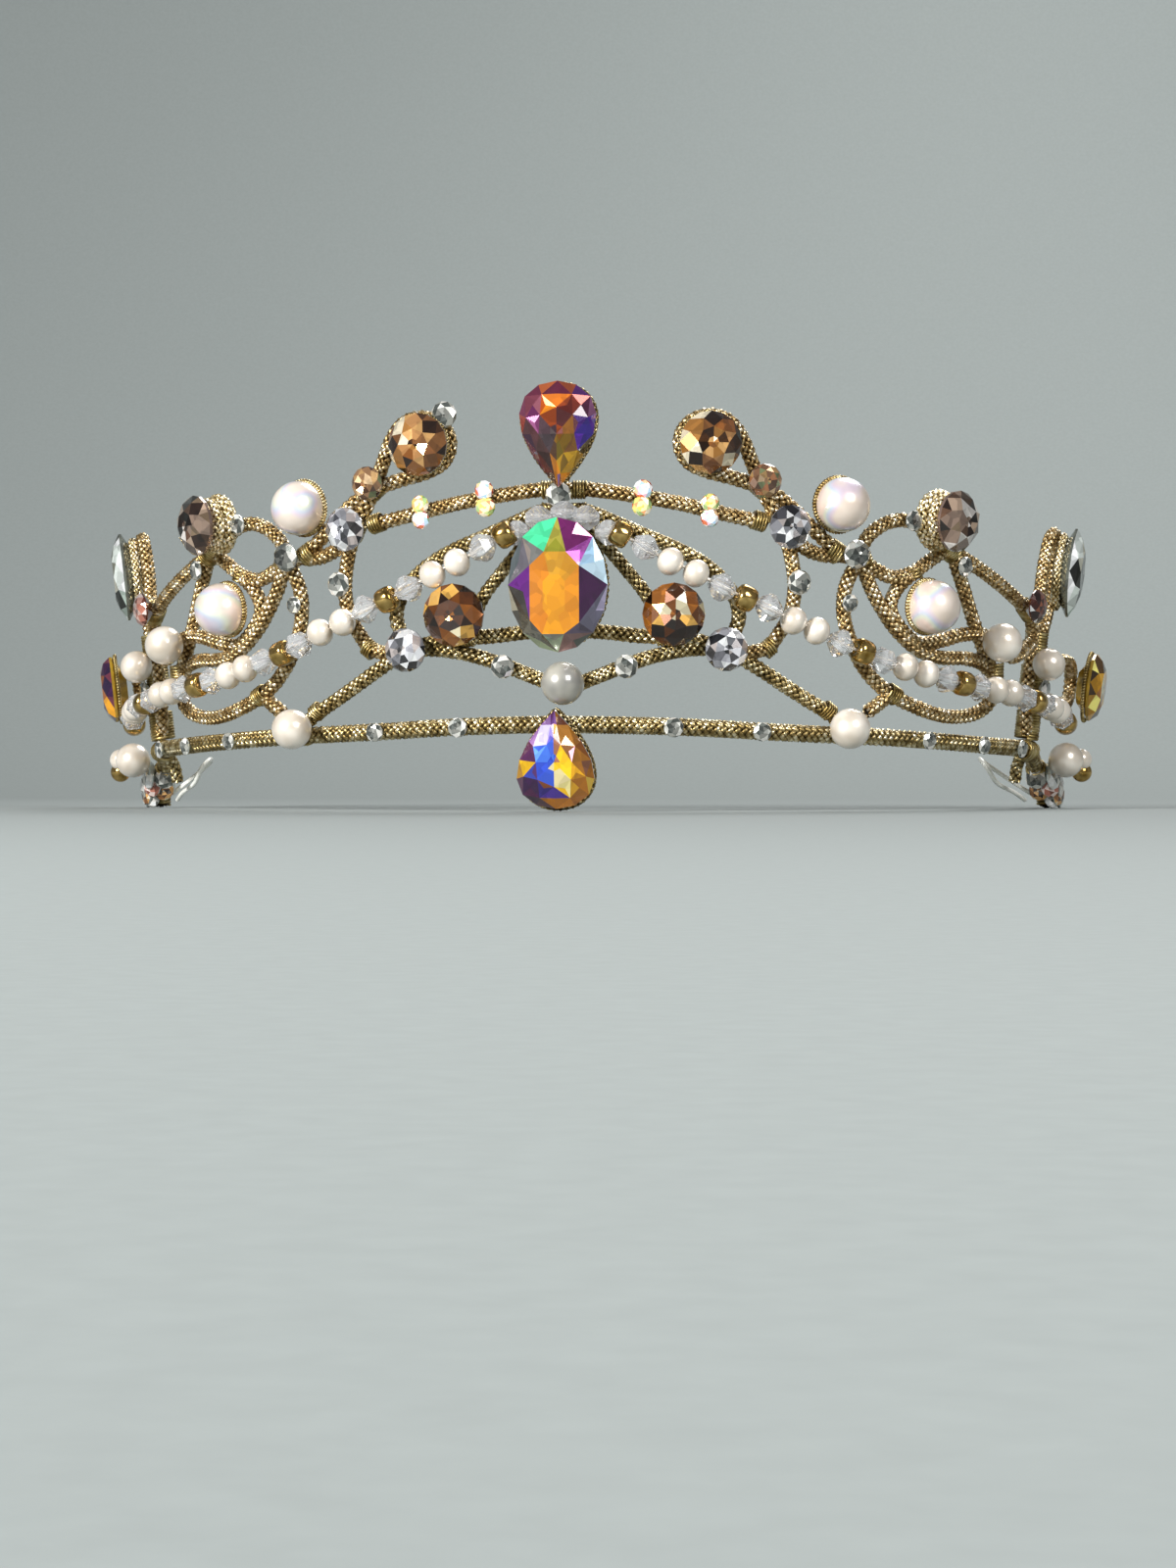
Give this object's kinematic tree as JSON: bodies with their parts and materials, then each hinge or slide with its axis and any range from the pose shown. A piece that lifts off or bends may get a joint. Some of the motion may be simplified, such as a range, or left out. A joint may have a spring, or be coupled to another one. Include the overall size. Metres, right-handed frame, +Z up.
{
  "type": "ballet tiara",
  "caption": "Open lattice tiara of braided gold cord over wire, set with cut stones and pearls, with a draped string of beads; it is pinned into a dancer's hair",
  "frame": {"origin": "the middle of the bounding box's base, which lies on the surface the tiara stands on", "axes": "+Z is up; +X runs along the tiara's greatest width, to the viewer's right when its stones are faced; the front faces -Y; the tiara leans back 2.5 degrees, as it stands by itself"},
  "size_m": [0.1522, 0.0728, 0.0568],
  "materials": {
    "gold_cord": "braided gold lame cord over wire, bound with gold thread",
    "amber_glass": "foil-backed cut glass, amber with an iridescent coat",
    "topaz_glass": "foil-backed cut glass, light topaz to smoky brown",
    "crystal_glass": "foil-backed clear cut glass, some with an iridescent coat",
    "smoke_glass": "foil-backed grey-black cut glass",
    "copper_glass": "foil-backed copper-pink cut glass",
    "pearl": "cream imitation pearl",
    "gold_bead": "polished gilt bead",
    "nylon": "clear nylon line"
  },
  "bodies": {
    "root": {"base_band": "gold_cord", "centre_lattice": "gold_cord", "top_arch": "gold_cord", "scroll_R": "gold_cord", "scroll_L": "gold_cord", "side_frame_R": "gold_cord", "side_frame_L": "gold_cord", "top_pear_rim": "gold_cord", "centre_oval_rim": "gold_cord", "drop_pear_rim": "gold_cord", "bead_string_R": "pearl", "bead_string_L": "pearl", "pin_loop_R": "nylon", "pin_loop_L": "nylon", "top_pear": "amber_glass", "drop_pear": "amber_glass", "centre_oval": "crystal_glass", "centre_pearl": "pearl", "amber_stone_R": "amber_glass", "amber_stone_L": "amber_glass", "crest_stone_R": "topaz_glass", "crest_stone_L": "topaz_glass", "crest_brown_stone_R": "topaz_glass", "crest_brown_stone_L": "topaz_glass", "wing_stone_R": "topaz_glass", "wing_stone_L": "topaz_glass", "end_oval_R": "amber_glass", "end_oval_L": "amber_glass", "end_navette_R": "smoke_glass", "end_navette_L": "smoke_glass", "copper_stone_R": "copper_glass", "copper_stone_L": "copper_glass", "hub_crystal_R": "crystal_glass", "hub_crystal_L": "crystal_glass", "low_crystal_R": "crystal_glass", "low_crystal_L": "crystal_glass", "fork_crystal_R": "crystal_glass", "fork_crystal_L": "crystal_glass", "crest_cabochon_R": "pearl", "crest_cabochon_L": "pearl", "wing_cabochon_R": "pearl", "wing_cabochon_L": "pearl", "wing_pearl_R": "pearl", "wing_pearl_L": "pearl", "end_pearl_R": "pearl", "end_pearl_L": "pearl", "band_pearl_R": "pearl", "band_pearl_L": "pearl", "leg_pearl_R": "pearl", "leg_pearl_L": "pearl"}
  },
  "joints": []
}
